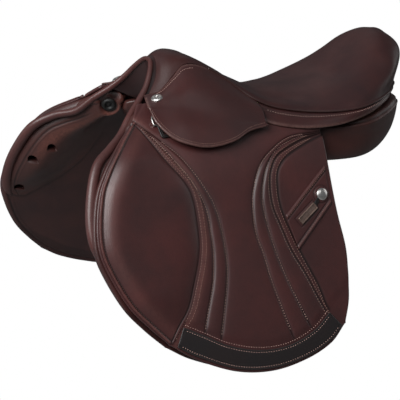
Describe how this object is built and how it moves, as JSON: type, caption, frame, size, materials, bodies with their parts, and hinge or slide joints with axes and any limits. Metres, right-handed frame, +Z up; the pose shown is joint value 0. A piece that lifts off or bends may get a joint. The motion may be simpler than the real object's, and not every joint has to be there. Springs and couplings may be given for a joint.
{
  "type": "english jumping saddle",
  "caption": "Close-contact jumping saddle with a deep seat, hinged flaps and skirts, knee rolls, stirrup bars, dee rings, billets and stuffed panels.",
  "frame": {"origin": "middle of the saddle on the horse's spine line, between the two panels, level with the middle of their bearing", "axes": "+X to the cantle (rear), -Y the left side, +Z up"},
  "size_m": [0.6373, 0.531, 0.4391],
  "materials": {
    "tree_wood": "satin",
    "steel": "satin",
    "webbing": "matt",
    "foam": "matt",
    "brown_leather": "satin",
    "nail_metal": "polished",
    "bar_steel": "satin",
    "black_leather": "satin",
    "plate_metal": "polished",
    "lining_leather": "satin",
    "panel_leather": "satin",
    "dee_metal": "polished",
    "black_rubber": "matt"
  },
  "bodies": {
    "saddle": {"tree": "tree_wood", "head_plate": "steel", "spring_left": "steel", "spring_right": "steel", "seat_webbing": "webbing", "seat_foam": "foam", "seat_cover": "brown_leather", "pommel_facing": "brown_leather", "rear_strip": "brown_leather", "skirt_top_left": "brown_leather", "skirt_top_right": "brown_leather", "skirt_nails": "nail_metal", "stirrup_bar_left": "bar_steel", "stirrup_bar_right": "bar_steel", "flap_top_left": "brown_leather", "flap_top_right": "brown_leather", "sweat_flap_left": "lining_leather", "sweat_flap_right": "lining_leather", "knee_block_left": "brown_leather", "knee_block_right": "brown_leather", "thigh_block_left": "brown_leather", "thigh_block_right": "brown_leather", "billet_web_left": "webbing", "billet_web_right": "webbing", "front_panel_left": "panel_leather", "front_panel_right": "panel_leather", "panel_left": "panel_leather", "panel_right": "panel_leather", "dee_strap_left": "black_leather", "dee_strap_right": "black_leather", "point_studs": "black_rubber"},
    "left_flap": {"flap_left": "brown_leather", "knee_leaf_left": "brown_leather", "wear_patch_left": "black_leather", "keeper_left": "brown_leather", "keeper_plate_left": "plate_metal", "keeper_stud_left": "nail_metal"},
    "left_skirt": {"skirt_left": "brown_leather"},
    "left_bar_catch": {"bar_catch_left": "bar_steel"},
    "left_dee": {"dee_left": "dee_metal"},
    "left_front_billet": {"front_billet_left": "brown_leather"},
    "left_middle_billet": {"middle_billet_left": "brown_leather"},
    "left_rear_billet": {"rear_billet_left": "brown_leather"},
    "left_girth_guard": {"girth_guard_left": "lining_leather"},
    "right_flap": {"flap_right": "brown_leather", "knee_leaf_right": "brown_leather", "wear_patch_right": "black_leather", "keeper_right": "brown_leather", "keeper_plate_right": "plate_metal", "keeper_stud_right": "nail_metal"},
    "right_skirt": {"skirt_right": "brown_leather"},
    "right_bar_catch": {"bar_catch_right": "bar_steel"},
    "right_dee": {"dee_right": "dee_metal"},
    "right_front_billet": {"front_billet_right": "brown_leather"},
    "right_middle_billet": {"middle_billet_right": "brown_leather"},
    "right_rear_billet": {"rear_billet_right": "brown_leather"},
    "right_girth_guard": {"girth_guard_right": "lining_leather"}
  },
  "joints": [
    {"name": "left_flap_lift", "type": "hinge", "parent": "saddle", "child": "left_flap", "pos_m": [-0.15, -0.1411, 0.03636], "axis": [-1, 0, 0], "range_deg": [0, 85]},
    {"name": "left_skirt_lift", "type": "hinge", "parent": "saddle", "child": "left_skirt", "pos_m": [-0.23709, -0.08373, 0.10966], "axis": [-0.9507, 0.2392, 0.1975], "range_deg": [0, 50]},
    {"name": "left_catch_turn", "type": "hinge", "parent": "saddle", "child": "left_bar_catch", "pos_m": [-0.1, -0.1041, 0.07368], "axis": [0, -0.7234, 0.6905], "range_deg": [0, 70]},
    {"name": "left_dee_turn", "type": "hinge", "parent": "saddle", "child": "left_dee", "pos_m": [-0.226, -0.09743, 0.08101], "axis": [-1, 0, 0], "range_deg": [-3, 5]},
    {"name": "left_middle_billet_swing", "type": "hinge", "parent": "saddle", "child": "left_middle_billet", "pos_m": [-0.085, -0.10043, 0.05951], "axis": [0, 0.9219, -0.3874], "range_deg": [-2, 2]},
    {"name": "left_front_billet_swing", "type": "hinge", "parent": "saddle", "child": "left_front_billet", "pos_m": [-0.13, -0.10043, 0.05951], "axis": [0, 0.9219, -0.3874], "range_deg": [-2, 2]},
    {"name": "left_rear_billet_swing", "type": "hinge", "parent": "saddle", "child": "left_rear_billet", "pos_m": [-0.04, -0.10043, 0.05951], "axis": [0, 0.9219, -0.3874], "range_deg": [-2, 2]},
    {"name": "left_guard_slide", "type": "slide", "parent": "left_middle_billet", "child": "left_girth_guard", "axis": [0, -0.3891, -0.9212], "range_m": [0, 0.03]},
    {"name": "right_flap_lift", "type": "hinge", "parent": "saddle", "child": "right_flap", "pos_m": [-0.15, 0.1411, 0.03636], "axis": [1, 0, 0], "range_deg": [0, 85]},
    {"name": "right_skirt_lift", "type": "hinge", "parent": "saddle", "child": "right_skirt", "pos_m": [-0.23709, 0.08373, 0.10966], "axis": [0.9507, 0.2392, -0.1975], "range_deg": [0, 50]},
    {"name": "right_catch_turn", "type": "hinge", "parent": "saddle", "child": "right_bar_catch", "pos_m": [-0.1, 0.1041, 0.07368], "axis": [0, -0.7234, -0.6905], "range_deg": [0, 70]},
    {"name": "right_dee_turn", "type": "hinge", "parent": "saddle", "child": "right_dee", "pos_m": [-0.226, 0.09743, 0.08101], "axis": [1, 0, 0], "range_deg": [-3, 5]},
    {"name": "right_middle_billet_swing", "type": "hinge", "parent": "saddle", "child": "right_middle_billet", "pos_m": [-0.085, 0.10043, 0.05951], "axis": [0, 0.9219, 0.3874], "range_deg": [-2, 2]},
    {"name": "right_front_billet_swing", "type": "hinge", "parent": "saddle", "child": "right_front_billet", "pos_m": [-0.13, 0.10043, 0.05951], "axis": [0, 0.9219, 0.3874], "range_deg": [-2, 2]},
    {"name": "right_rear_billet_swing", "type": "hinge", "parent": "saddle", "child": "right_rear_billet", "pos_m": [-0.04, 0.10043, 0.05951], "axis": [0, 0.9219, 0.3874], "range_deg": [-2, 2]},
    {"name": "right_guard_slide", "type": "slide", "parent": "right_middle_billet", "child": "right_girth_guard", "axis": [0, 0.3891, -0.9212], "range_m": [0, 0.03]}
  ],
  "couplings": [
    {"joint": "left_front_billet_swing", "follows": "left_middle_billet_swing", "ratio": 1},
    {"joint": "left_rear_billet_swing", "follows": "left_middle_billet_swing", "ratio": 1},
    {"joint": "right_front_billet_swing", "follows": "right_middle_billet_swing", "ratio": 1},
    {"joint": "right_rear_billet_swing", "follows": "right_middle_billet_swing", "ratio": 1}
  ]
}
